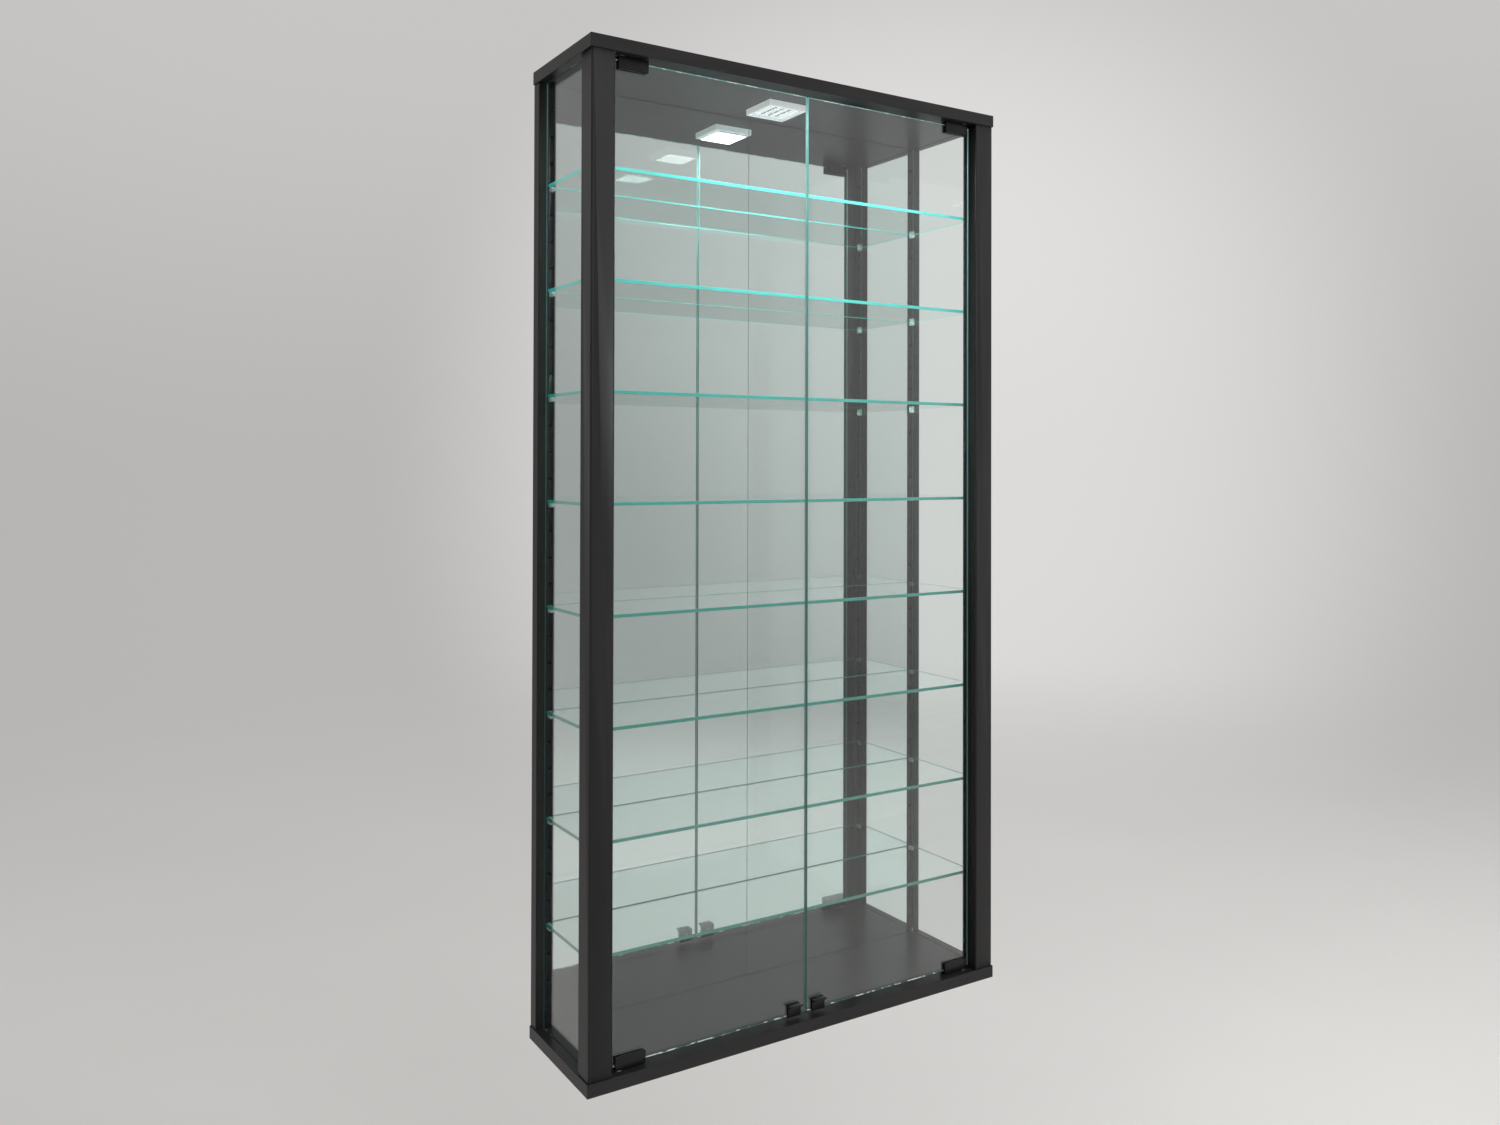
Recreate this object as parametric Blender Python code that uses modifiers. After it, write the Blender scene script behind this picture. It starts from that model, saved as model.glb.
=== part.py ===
"""Wall mounted showcase: a shallow glass cabinet with a mirrored back, eight glass shelves
on clear pins, two frameless glass doors on clamp hinges, and a square lamp under the top.

Units are metres. +Z is up and -Y faces the room. The origin is the centre of the face that
lies against the wall, so the whole cabinet is at Y <= 0. Z = 0 is half way up.
"""
import math

import bmesh
import bpy
from mathutils import Matrix, Vector

# ---- overall size -------------------------------------------------------------------------
CABINET_WIDTH = 0.602
CABINET_HEIGHT = 1.176
CABINET_DEPTH = 0.168

# ---- general clearances -------------------------------------------------------------------
SEAT_GAP = 0.0003            # between two pieces that touch
CUT_PAST = 0.001             # how far a cutter runs past the face it opens
ROUND_SIDES = 16
SMALL_SIDES = 10

# ---- boards and posts ---------------------------------------------------------------------
BOARD_THICKNESS = 0.0155
BOARD_EDGE_RADIUS = 0.0005
POST_SIDE_INSET = 0.0015     # posts stand this far in from the boards' ends
POST_FRONT_INSET = 0.0005
FRONT_POST_WIDTH = 0.0295
FRONT_POST_DEPTH = 0.0275
FRONT_POST_RADIUS = 0.0025
REAR_POST_WIDTH = 0.0245
POST_EDGE_RADIUS = 0.0005

# ---- glass and mirror ---------------------------------------------------------------------
PANE_THICKNESS = 0.004
PANE_INSET = 0.012           # outer face of a side pane, in from the boards' ends
PANE_GROOVE = 0.0025
GLASS_EDGE = 0.0004          # ground edge of every pane
MIRROR_THICKNESS = 0.003
MIRROR_SEAM = 0.0005
MIRROR_SETBACK = 0.0001      # mirror's face, behind the rear posts' faces
BACK_BOARD_THICKNESS = 0.012

# ---- shelves and their pins ---------------------------------------------------------------
SHELF_COUNT = 8
SHELF_THICKNESS = 0.004
HOLE_PITCH = 0.032           # rows of pin holes in the posts
HOLES_PER_SHELF = 4
SHELF_END_GAP = 0.0005
PIN_INSET = 0.0209           # pin centres, in from the boards' ends
PIN_RADIUS = 0.003
PIN_REACH = 0.007            # how far a pin carries the shelf
PIN_BITE = 0.0007            # depth of the shelf's seat in the pin
SHANK_RADIUS = 0.0024
SHANK_LENGTH = 0.0070
PIN_HOLE_RADIUS = 0.0027
PIN_HOLE_DEPTH = 0.0080

# ---- doors --------------------------------------------------------------------------------
DOOR_THICKNESS = 0.004
DOOR_RECESS = 0.013          # door's face, back from the boards' front edge
DOOR_SIDE_GAP = 0.0025
DOOR_END_GAP = 0.0046
DOOR_MEETING_GAP = 0.002
PIVOT_SETBACK = 0.010        # hinge axis, in from the door's outer edge

# ---- hinges -------------------------------------------------------------------------------
CLAMP_LENGTH = 0.0385
CLAMP_END = 0.005            # clamp's outer end, past the hinge axis
CLAMP_PLATE = 0.003
CLAMP_HEIGHT = 0.0150
CLAMP_BOARD_GAP = 0.0006
CLAMP_EDGE_RADIUS = 0.0006
CLAMP_CORNER_RADIUS = 0.0012  # corner away from the board and the axis
HINGE_PIN_RADIUS = 0.0025
HINGE_PIN_DEPTH = 0.009      # into the board
PIN_RUNNING_GAP = 0.0003
PIN_FLAT = 0.0004            # depth of the flat that holds the door shut
DETENT_HEIGHT = 0.0018       # height of the nib in the bush
BUSH_WALL = 0.0022
BUSH_LENGTH = 0.0100
CLAMP_SCREW_RADIUS = 0.0019
SCREW_SOCKET_RADIUS = 0.0010
SCREW_HOLE_GAP = 0.0003

# ---- finger pulls -------------------------------------------------------------------------
PULL_WIDTH = 0.019
PULL_FROM_EDGE = 0.0075      # in from the door's meeting edge
PULL_HEIGHT = 0.013          # above the door's lower edge
PULL_PLATE = 0.0012
PULL_REAR_PLATE = 0.0022
PULL_LIP = 0.0063
PULL_LIP_THICKNESS = 0.0015
PULL_UNDER = 0.0012
PULL_SCREW_RADIUS = 0.0014

# ---- lamp ---------------------------------------------------------------------------------
LAMP_SIZE = 0.0565
LAMP_HEIGHT = 0.008
LAMP_WALL = 0.003
LAMP_ROOF = 0.0015
LAMP_EDGE_RADIUS = 0.0010
LAMP_FROM_FRONT = 0.086      # lamp's centre, back from the boards' front edge
LAMP_BOARD_THICKNESS = 0.0012
LAMP_COVER_THICKNESS = 0.0015
LAMP_COVER_RECESS = 0.0004
CABLE_RADIUS = 0.004
GROMMET_WALL = 0.0015
GROMMET_FLANGE_RADIUS = 0.008
GROMMET_FLANGE = 0.0015

# ---- wall hangers -------------------------------------------------------------------------
HANGER_WIDTH = 0.018
HANGER_LENGTH = 0.050
HANGER_THICKNESS = 0.0016
HANGER_BELOW_TOP = 0.076     # hanger's centre, below the cabinet's upper edge
KEYHOLE_RADIUS = 0.0045
KEYHOLE_SLOT_RADIUS = 0.0024
KEYHOLE_RISE = 0.010
KEYHOLE_DROP = 0.004         # keyhole's round end, below the hanger's centre
POCKET_WIDTH = 0.014
POCKET_MARGIN = 0.003
POCKET_DEPTH = 0.009
HANGER_SCREW_SPACING = 0.040
HANGER_SCREW_COVER = 0.0009  # wood left between a screw's tip and the pane's groove

# ---- frame screws -------------------------------------------------------------------------
FRAME_SCREW_RADIUS = 0.0025
FRAME_SCREW_LENGTH = 0.042
FRAME_HEAD_RADIUS = 0.0045
SCREW_HEAD_DROP = 0.0003     # head sits this far under the surface

# ---- places worked out from the sizes -----------------------------------------------------
HALF_WIDTH = CABINET_WIDTH / 2
HALF_HEIGHT = CABINET_HEIGHT / 2
FRONT = -CABINET_DEPTH
POST_HALF = HALF_HEIGHT - BOARD_THICKNESS - SEAT_GAP
INNER_HALF = HALF_HEIGHT - BOARD_THICKNESS
POST_OUTER_X = HALF_WIDTH - POST_SIDE_INSET
FRONT_POST_INNER_X = POST_OUTER_X - FRONT_POST_WIDTH
REAR_POST_INNER_X = POST_OUTER_X - REAR_POST_WIDTH
FRONT_POST_FRONT_Y = FRONT + POST_FRONT_INSET
FRONT_POST_REAR_Y = FRONT_POST_FRONT_Y + FRONT_POST_DEPTH
REAR_POST_FRONT_Y = -(BACK_BOARD_THICKNESS + SEAT_GAP + MIRROR_THICKNESS + MIRROR_SETBACK)
PANE_OUTER_X = HALF_WIDTH - PANE_INSET
PANE_INNER_X = PANE_OUTER_X - PANE_THICKNESS
PIN_X = HALF_WIDTH - PIN_INSET
DOOR_FRONT_Y = FRONT + DOOR_RECESS
DOOR_MIDDLE_Y = DOOR_FRONT_Y + DOOR_THICKNESS / 2
DOOR_OUTER_X = FRONT_POST_INNER_X - DOOR_SIDE_GAP
DOOR_INNER_X = DOOR_MEETING_GAP / 2
DOOR_HALF = INNER_HALF - DOOR_END_GAP
PIVOT_X = DOOR_OUTER_X - PIVOT_SETBACK
BUSH_OUTER_RADIUS = HINGE_PIN_RADIUS + PIN_RUNNING_GAP + BUSH_WALL
LAMP_Y = FRONT + LAMP_FROM_FRONT
LAMP_POCKET_HALF = LAMP_SIZE / 2 - LAMP_WALL
FRONT_SCREW_XY = (POST_OUTER_X - FRONT_POST_WIDTH / 2, FRONT_POST_FRONT_Y + FRONT_POST_DEPTH / 2)
REAR_SCREW_XY = (POST_OUTER_X - REAR_POST_WIDTH / 2, REAR_POST_FRONT_Y / 2)
HANGER_X = POST_OUTER_X - REAR_POST_WIDTH / 2
HANGER_Z = HALF_HEIGHT - HANGER_BELOW_TOP
HANGER_SCREW_LENGTH = -REAR_POST_FRONT_Y - PANE_GROOVE - HANGER_SCREW_COVER

SIDES = (("left", -1), ("right", 1))
ENDS = (("top", 1), ("bottom", -1))
AXIS_TURNS = {
    "X": Matrix.Rotation(math.pi / 2, 4, "Y"),
    "Y": Matrix.Rotation(-math.pi / 2, 4, "X"),
    "Z": Matrix.Identity(4),
}


# ---- scene and materials ------------------------------------------------------------------
def clear_scene():
    for old in list(bpy.data.objects):
        bpy.data.objects.remove(old, do_unlink=True)


def new_collection(name):
    collection = bpy.data.collections.new(name)
    bpy.context.scene.collection.children.link(collection)
    return collection


def new_material(name, colour, roughness, metallic=0.0, transmission=0.0, glow=0.0):
    material = bpy.data.materials.new(name)
    material.use_nodes = True
    shader = material.node_tree.nodes["Principled BSDF"]
    shader.inputs["Base Color"].default_value = (*colour, 1.0)
    shader.inputs["Roughness"].default_value = roughness
    shader.inputs["Metallic"].default_value = metallic
    shader.inputs["Transmission Weight"].default_value = transmission
    shader.inputs["Emission Color"].default_value = (*colour, 1.0)
    shader.inputs["Emission Strength"].default_value = glow
    return material


clear_scene()
PARTS = new_collection("wall_showcase")
CUTTERS = new_collection("wall_showcase_cutters")

ANTHRACITE = new_material("anthracite_foil", (0.030, 0.029, 0.030), 0.45)
CLEAR_GLASS = new_material("clear_glass", (0.80, 0.95, 0.92), 0.02, transmission=1.0)
SHELF_GLASS = new_material("shelf_glass", (0.45, 0.90, 0.82), 0.02, transmission=1.0)
MIRROR_SILVER = new_material("mirror_silver", (0.80, 0.85, 0.84), 0.02, metallic=1.0)
BACK_FIBRE = new_material("back_board_fibre", (0.20, 0.19, 0.18), 0.75)
BLACK_METAL = new_material("black_coated_metal", (0.012, 0.012, 0.012), 0.35, metallic=0.3)
BRIGHT_STEEL = new_material("zinc_steel", (0.62, 0.62, 0.60), 0.30, metallic=1.0)
NYLON = new_material("nylon", (0.80, 0.79, 0.75), 0.5)
ALUMINIUM = new_material("satin_aluminium", (0.72, 0.73, 0.74), 0.35, metallic=1.0)
LAMP_WHITE = new_material("lamp_board_white", (0.92, 0.95, 0.95), 0.5, glow=4.0)
LAMP_CLEAR = new_material("lamp_cover_clear", (0.92, 0.96, 0.97), 0.2, transmission=0.8)
DARK_RUBBER = new_material("dark_rubber", (0.02, 0.02, 0.02), 0.8)


# ---- solids -------------------------------------------------------------------------------
def finish_object(name, mesh, location, collection, material=None, parent=None):
    """Put a mesh that is centred on its own origin at a place given in world axes."""
    item = bpy.data.objects.new(name, mesh)
    collection.objects.link(item)
    item.location = Vector(location)
    if parent is not None:
        item.parent = parent
        item.location -= parent.location
    if material is not None:
        mesh.materials.append(material)
    if collection is CUTTERS:
        item.hide_render = True
        item.display_type = "WIRE"
    return item


def mesh_from(bm, name):
    mesh = bpy.data.meshes.new(name)
    bm.to_mesh(mesh)
    bm.free()
    return mesh


def box(name, low, high, material=None, collection=PARTS, parent=None, round_edges=None, radius=0.0,
        segments=3):
    """A box between two corners; round_edges picks the edges that get the radius."""
    low, high = Vector(low), Vector(high)
    size, centre = high - low, (high + low) / 2
    bm = bmesh.new()
    bmesh.ops.create_cube(bm, size=1.0, matrix=Matrix.Diagonal((*size, 1.0)))
    if round_edges is not None:
        chosen = [edge for edge in bm.edges if round_edges(edge)]
        bmesh.ops.bevel(bm, geom=chosen, offset=radius, offset_type="OFFSET", segments=segments,
                        profile=0.5, affect="EDGES")
    return finish_object(name, mesh_from(bm, name), centre, collection, material, parent)


def cylinder(name, centre, axis, radius, length, sides=ROUND_SIDES, material=None,
             collection=PARTS, parent=None, end_radius=None):
    """A cylinder or cone; radius is its end on the negative side of the axis."""
    bm = bmesh.new()
    bmesh.ops.create_cone(bm, cap_ends=True, segments=sides, radius1=radius,
                          radius2=radius if end_radius is None else end_radius,
                          depth=length, matrix=AXIS_TURNS[axis])
    item = finish_object(name, mesh_from(bm, name), centre, collection, material, parent)
    return shade_round(item)


def shade_round(item):
    item.data.shade_smooth()
    item.data.set_sharp_from_angle(angle=math.radians(40))
    return item


def boolean(item, other, operation):
    modifier = item.modifiers.new(f"{operation.lower()}_{other.name}", "BOOLEAN")
    modifier.object = other
    modifier.operation = operation
    modifier.solver = "EXACT"
    return item


def cut_box(item, name, low, high):
    return boolean(item, box(name, low, high, collection=CUTTERS, parent=item.parent), "DIFFERENCE")


def cut_round(item, name, centre, axis, radius, length, sides=ROUND_SIDES, end_radius=None):
    cutter = cylinder(name, centre, axis, radius, length, sides, collection=CUTTERS,
                      parent=item.parent, end_radius=end_radius)
    return boolean(item, cutter, "DIFFERENCE")


def soften(item, width, segments=1):
    modifier = item.modifiers.new("edges", "BEVEL")
    modifier.width = width
    modifier.segments = segments
    modifier.limit_method = "ANGLE"
    modifier.angle_limit = math.radians(40)
    return item


def spin_profile(name, points, centre, sides, material, parent=None):
    """Turn a profile of (radius, height) points, listed from top to bottom, about Z."""
    bm = bmesh.new()
    ring = [bm.verts.new((radius, 0.0, height)) for radius, height in points]
    for first, second in zip(ring, ring[1:]):
        bm.edges.new((first, second))
    item = finish_object(name, mesh_from(bm, name), centre, PARTS, material, parent)
    turn = item.modifiers.new("turn", "SCREW")
    turn.steps = turn.render_steps = sides
    turn.use_merge_vertices = True
    turn.merge_threshold = 0.00001
    return item


def ordered(first, second):
    return (min(first, second), max(first, second))


def span_x(side, inner, outer):
    """Low and high X of a piece between two distances from the centre, on one side."""
    return ordered(side * inner, side * outer)


# ---- boards -------------------------------------------------------------------------------
def make_board(end_name, end):
    z_low, z_high = ordered(end * INNER_HALF, end * HALF_HEIGHT)
    board = box(f"{end_name}_board", (-HALF_WIDTH, FRONT, z_low), (HALF_WIDTH, 0.0, z_high), ANTHRACITE)
    soften(board, BOARD_EDGE_RADIUS, 2)
    inner_face = end * INNER_HALF
    for side_name, side in SIDES:
        tag = f"{end_name}_{side_name}"
        groove_x = span_x(side, PANE_INNER_X - SEAT_GAP, PANE_OUTER_X + SEAT_GAP)
        groove_z = ordered(inner_face - end * CUT_PAST, inner_face + end * (PANE_GROOVE + SEAT_GAP))
        groove_y = (FRONT_POST_REAR_Y - PANE_GROOVE, REAR_POST_FRONT_Y + PANE_GROOVE)
        cut_box(board, f"cut_pane_groove_{tag}", (groove_x[0], groove_y[0], groove_z[0]),
                (groove_x[1], groove_y[1], groove_z[1]))
        bush_hole = BUSH_LENGTH + SEAT_GAP + CUT_PAST
        cut_round(board, f"cut_bush_hole_{tag}",
                  (side * PIVOT_X, DOOR_MIDDLE_Y, inner_face + end * (bush_hole / 2 - CUT_PAST)),
                  "Z", BUSH_OUTER_RADIUS + SEAT_GAP, bush_hole)
        for place, (x, y) in (("front", FRONT_SCREW_XY), ("rear", REAR_SCREW_XY)):
            cut_frame_screw_hole(board, f"{tag}_{place}", side * x, y, end)
    return board


def cut_frame_screw_hole(board, tag, x, y, end):
    """A clearance hole with a countersink that follows the screw's head."""
    middle = end * (INNER_HALF + BOARD_THICKNESS / 2)
    cut_round(board, f"cut_screw_hole_{tag}", (x, y, middle), "Z", FRAME_SCREW_RADIUS + SCREW_HOLE_GAP,
              BOARD_THICKNESS + 2 * CUT_PAST, SMALL_SIDES)
    depth = FRAME_HEAD_RADIUS - FRAME_SCREW_RADIUS + SCREW_HEAD_DROP + CUT_PAST
    wide = FRAME_HEAD_RADIUS + SCREW_HOLE_GAP + CUT_PAST + SCREW_HEAD_DROP
    narrow = FRAME_SCREW_RADIUS + SCREW_HOLE_GAP
    first, second = (narrow, wide) if end > 0 else (wide, narrow)
    cut_round(board, f"cut_countersink_{tag}", (x, y, end * (HALF_HEIGHT + CUT_PAST - depth / 2)),
              "Z", first, depth, ROUND_SIDES, end_radius=second)


def cut_cable_hole(top_board):
    middle = HALF_HEIGHT - BOARD_THICKNESS / 2
    cut_round(top_board, "cut_cable_hole", (0, LAMP_Y, middle), "Z",
              CABLE_RADIUS + GROMMET_WALL + SEAT_GAP, BOARD_THICKNESS + 2 * CUT_PAST)
    seat = GROMMET_FLANGE + SEAT_GAP + CUT_PAST
    cut_round(top_board, "cut_grommet_seat", (0, LAMP_Y, HALF_HEIGHT + CUT_PAST - seat / 2), "Z",
              GROMMET_FLANGE_RADIUS + SEAT_GAP, seat)


# ---- posts --------------------------------------------------------------------------------
def shelf_centres():
    """Heights of the shelves' middles, evenly about half height."""
    pitch = HOLE_PITCH * HOLES_PER_SHELF
    return [(index - (SHELF_COUNT - 1) / 2) * pitch for index in range(SHELF_COUNT)]


def pin_height(shelf_z):
    return shelf_z - SHELF_THICKNESS / 2 - PIN_RADIUS + PIN_BITE


def cut_post_for_fittings(post, tag, side, face_y, into, screw_xy):
    """Pin holes and pane groove in the face at face_y, and screw holes in both ends.

    into is the Y direction from the face into the post.
    """
    for index, shelf_z in enumerate(shelf_centres(), start=1):
        depth = PIN_HOLE_DEPTH + CUT_PAST
        cut_round(post, f"cut_pin_hole_{tag}_{index}",
                  (side * PIN_X, face_y + into * (depth / 2 - CUT_PAST), pin_height(shelf_z)),
                  "Y", PIN_HOLE_RADIUS, depth, SMALL_SIDES)
    groove_x = span_x(side, PANE_INNER_X - SEAT_GAP, PANE_OUTER_X + SEAT_GAP)
    groove_y = ordered(face_y - into * CUT_PAST, face_y + into * (PANE_GROOVE + SEAT_GAP))
    cut_box(post, f"cut_pane_groove_{tag}", (groove_x[0], groove_y[0], -HALF_HEIGHT),
            (groove_x[1], groove_y[1], HALF_HEIGHT))
    for end_name, end in ENDS:
        tip = HALF_HEIGHT - FRAME_SCREW_LENGTH - SCREW_HEAD_DROP - 2 * SEAT_GAP
        length = HALF_HEIGHT - tip
        cut_round(post, f"cut_screw_{tag}_{end_name}",
                  (side * screw_xy[0], screw_xy[1], end * (tip + length / 2)), "Z",
                  FRAME_SCREW_RADIUS + SCREW_HOLE_GAP, length, SMALL_SIDES)


def make_front_post(side_name, side):
    x = span_x(side, FRONT_POST_INNER_X, POST_OUTER_X)

    def is_front_corner(edge):
        upright = abs(edge.verts[0].co.z - edge.verts[1].co.z) > POST_HALF
        return upright and edge.verts[0].co.y < 0

    post = box(f"front_post_{side_name}", (x[0], FRONT_POST_FRONT_Y, -POST_HALF),
               (x[1], FRONT_POST_REAR_Y, POST_HALF), ANTHRACITE,
               round_edges=is_front_corner, radius=FRONT_POST_RADIUS, segments=4)
    shade_round(post)
    cut_post_for_fittings(post, f"front_{side_name}", side, FRONT_POST_REAR_Y, -1, FRONT_SCREW_XY)
    return post


def make_rear_post(side_name, side):
    x = span_x(side, REAR_POST_INNER_X, POST_OUTER_X)

    def is_outer_corner(edge):
        upright = abs(edge.verts[0].co.z - edge.verts[1].co.z) > POST_HALF
        return upright and edge.verts[0].co.x * side > 0

    post = box(f"rear_post_{side_name}", (x[0], REAR_POST_FRONT_Y, -POST_HALF),
               (x[1], 0.0, POST_HALF), ANTHRACITE, round_edges=is_outer_corner,
               radius=POST_EDGE_RADIUS, segments=1)
    cut_post_for_fittings(post, f"rear_{side_name}", side, REAR_POST_FRONT_Y, 1, REAR_SCREW_XY)
    cut_hanger_seat(post, side_name, side)
    return post


# ---- wall hangers -------------------------------------------------------------------------
def keyhole_z():
    return HANGER_Z - KEYHOLE_DROP


def hanger_screw_heights():
    return (HANGER_Z - HANGER_SCREW_SPACING / 2, HANGER_Z + HANGER_SCREW_SPACING / 2)


def cut_hanger_seat(post, side_name, side):
    """A recess for the plate, a pocket for the wall screw's head, and two pilot holes."""
    centre_x = side * HANGER_X
    half_seat = HANGER_WIDTH / 2 + SEAT_GAP
    half_length = HANGER_LENGTH / 2 + SEAT_GAP
    cut_box(post, f"cut_hanger_seat_{side_name}",
            (centre_x - half_seat, -HANGER_THICKNESS - SEAT_GAP, HANGER_Z - half_length),
            (centre_x + half_seat, CUT_PAST, HANGER_Z + half_length))
    low_z = keyhole_z() - KEYHOLE_RADIUS - POCKET_MARGIN
    high_z = keyhole_z() + KEYHOLE_RISE + KEYHOLE_RADIUS + POCKET_MARGIN
    cut_box(post, f"cut_head_pocket_{side_name}",
            (centre_x - POCKET_WIDTH / 2, -POCKET_DEPTH, low_z),
            (centre_x + POCKET_WIDTH / 2, CUT_PAST, high_z))
    for index, z in enumerate(hanger_screw_heights(), start=1):
        length = HANGER_SCREW_LENGTH + SEAT_GAP + CUT_PAST
        cut_round(post, f"cut_hanger_pilot_{side_name}_{index}",
                  (centre_x, CUT_PAST - length / 2, z), "Y",
                  CLAMP_SCREW_RADIUS + SCREW_HOLE_GAP, length, SMALL_SIDES)


def make_hanger(side_name, side):
    centre_x = side * HANGER_X
    plate = box(f"hanger_plate_{side_name}",
                (centre_x - HANGER_WIDTH / 2, -HANGER_THICKNESS, HANGER_Z - HANGER_LENGTH / 2),
                (centre_x + HANGER_WIDTH / 2, 0.0, HANGER_Z + HANGER_LENGTH / 2), BRIGHT_STEEL)
    depth = HANGER_THICKNESS + 2 * CUT_PAST
    middle_y = -HANGER_THICKNESS / 2
    z = keyhole_z()
    cut_round(plate, f"cut_keyhole_{side_name}", (centre_x, middle_y, z), "Y", KEYHOLE_RADIUS, depth)
    cut_round(plate, f"cut_keyhole_top_{side_name}", (centre_x, middle_y, z + KEYHOLE_RISE), "Y",
              KEYHOLE_SLOT_RADIUS, depth)
    cut_box(plate, f"cut_keyhole_slot_{side_name}",
            (centre_x - KEYHOLE_SLOT_RADIUS, middle_y - depth / 2, z),
            (centre_x + KEYHOLE_SLOT_RADIUS, middle_y + depth / 2, z + KEYHOLE_RISE))
    for index, screw_z in enumerate(hanger_screw_heights(), start=1):
        wide = CLAMP_SCREW_RADIUS + SCREW_HOLE_GAP + HANGER_THICKNESS + CUT_PAST
        cut_round(plate, f"cut_hanger_screw_{side_name}_{index}",
                  (centre_x, CUT_PAST / 2 - HANGER_THICKNESS / 2, screw_z), "Y",
                  CLAMP_SCREW_RADIUS + SCREW_HOLE_GAP, HANGER_THICKNESS + CUT_PAST, ROUND_SIDES,
                  end_radius=wide)
        cut_round(plate, f"cut_hanger_screw_bore_{side_name}_{index}", (centre_x, middle_y, screw_z),
                  "Y", CLAMP_SCREW_RADIUS + SCREW_HOLE_GAP, depth, SMALL_SIDES)
        make_hanger_screw(f"hanger_screw_{side_name}_{index}", centre_x, screw_z)


def make_hanger_screw(name, x, z):
    """A countersunk wood screw whose head lies just inside the plate."""
    head = CLAMP_SCREW_RADIUS + HANGER_THICKNESS - SCREW_HEAD_DROP
    cone = HANGER_THICKNESS - SCREW_HEAD_DROP
    points = [(0.0, 0.0), (head, 0.0), (CLAMP_SCREW_RADIUS, -cone),
              (CLAMP_SCREW_RADIUS, -HANGER_SCREW_LENGTH + CLAMP_SCREW_RADIUS),
              (0.0, -HANGER_SCREW_LENGTH)]
    screw = spin_profile(name, points, (x, -SCREW_HEAD_DROP, z), SMALL_SIDES, BRIGHT_STEEL)
    screw.rotation_euler = (-math.pi / 2, 0.0, 0.0)
    return screw


# ---- glass --------------------------------------------------------------------------------
def make_side_glass(side_name, side):
    x = span_x(side, PANE_INNER_X, PANE_OUTER_X)
    half = INNER_HALF + PANE_GROOVE
    pane = box(f"side_glass_{side_name}", (x[0], FRONT_POST_REAR_Y - PANE_GROOVE, -half),
               (x[1], REAR_POST_FRONT_Y + PANE_GROOVE, half), CLEAR_GLASS)
    return soften(pane, GLASS_EDGE)


def make_shelf(index, shelf_z):
    """One glass shelf with its four clear pins, whose shanks stand in the posts."""
    half_x = PANE_INNER_X - SHELF_END_GAP
    front_y = FRONT_POST_REAR_Y + SHELF_END_GAP
    rear_y = REAR_POST_FRONT_Y - SHELF_END_GAP
    shelf = box(f"shelf_{index}", (-half_x, front_y, shelf_z - SHELF_THICKNESS / 2),
                (half_x, rear_y, shelf_z + SHELF_THICKNESS / 2), SHELF_GLASS)
    soften(shelf, GLASS_EDGE)
    z = pin_height(shelf_z)
    for side_name, side in SIDES:
        for place, face_y, out in (("front", FRONT_POST_REAR_Y, 1), ("rear", REAR_POST_FRONT_Y, -1)):
            tag = f"{index}_{side_name}_{place}"
            start = face_y + out * SEAT_GAP
            body_y = start + out * PIN_REACH / 2
            body = cylinder(f"join_pin_{tag}", (side * PIN_X, body_y, z), "Y", PIN_RADIUS,
                            PIN_REACH, SMALL_SIDES, collection=CUTTERS)
            overlap = PIN_REACH / 2
            shank_length = SHANK_LENGTH + SEAT_GAP + overlap
            shank_y = start + out * overlap - out * shank_length / 2
            shank = cylinder(f"join_shank_{tag}", (side * PIN_X, shank_y, z), "Y", SHANK_RADIUS,
                             shank_length, SMALL_SIDES, collection=CUTTERS)
            boolean(shelf, body, "UNION")
            boolean(shelf, shank, "UNION")
    return shelf


def make_back():
    half_x = REAR_POST_INNER_X - SEAT_GAP
    half_z = INNER_HALF - SEAT_GAP
    box("back_board", (-half_x, -BACK_BOARD_THICKNESS, -half_z), (half_x, 0.0, half_z), BACK_FIBRE)
    mirror_rear = -BACK_BOARD_THICKNESS - SEAT_GAP
    for side_name, side in SIDES:
        x = span_x(side, MIRROR_SEAM / 2, half_x)
        sheet = box(f"mirror_{side_name}", (x[0], mirror_rear - MIRROR_THICKNESS, -half_z),
                    (x[1], mirror_rear, half_z), MIRROR_SILVER)
        soften(sheet, GLASS_EDGE / 2)


# ---- doors and hinges ---------------------------------------------------------------------
def make_door(side_name, side):
    """A glass door with its two hinge clamps and its pull, all on the hinge axis."""
    axis = bpy.data.objects.new(f"door_{side_name}_axis", None)
    PARTS.objects.link(axis)
    axis.location = (side * PIVOT_X, DOOR_MIDDLE_Y, 0.0)
    x = span_x(side, DOOR_INNER_X, DOOR_OUTER_X)
    glass = box(f"door_glass_{side_name}", (x[0], DOOR_FRONT_Y, -DOOR_HALF),
                (x[1], DOOR_FRONT_Y + DOOR_THICKNESS, DOOR_HALF), CLEAR_GLASS, parent=axis)
    soften(glass, GLASS_EDGE)
    for end_name, end in ENDS:
        make_hinge(f"{side_name}_{end_name}", side, end, axis)
    make_pull(side_name, side, axis)


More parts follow.
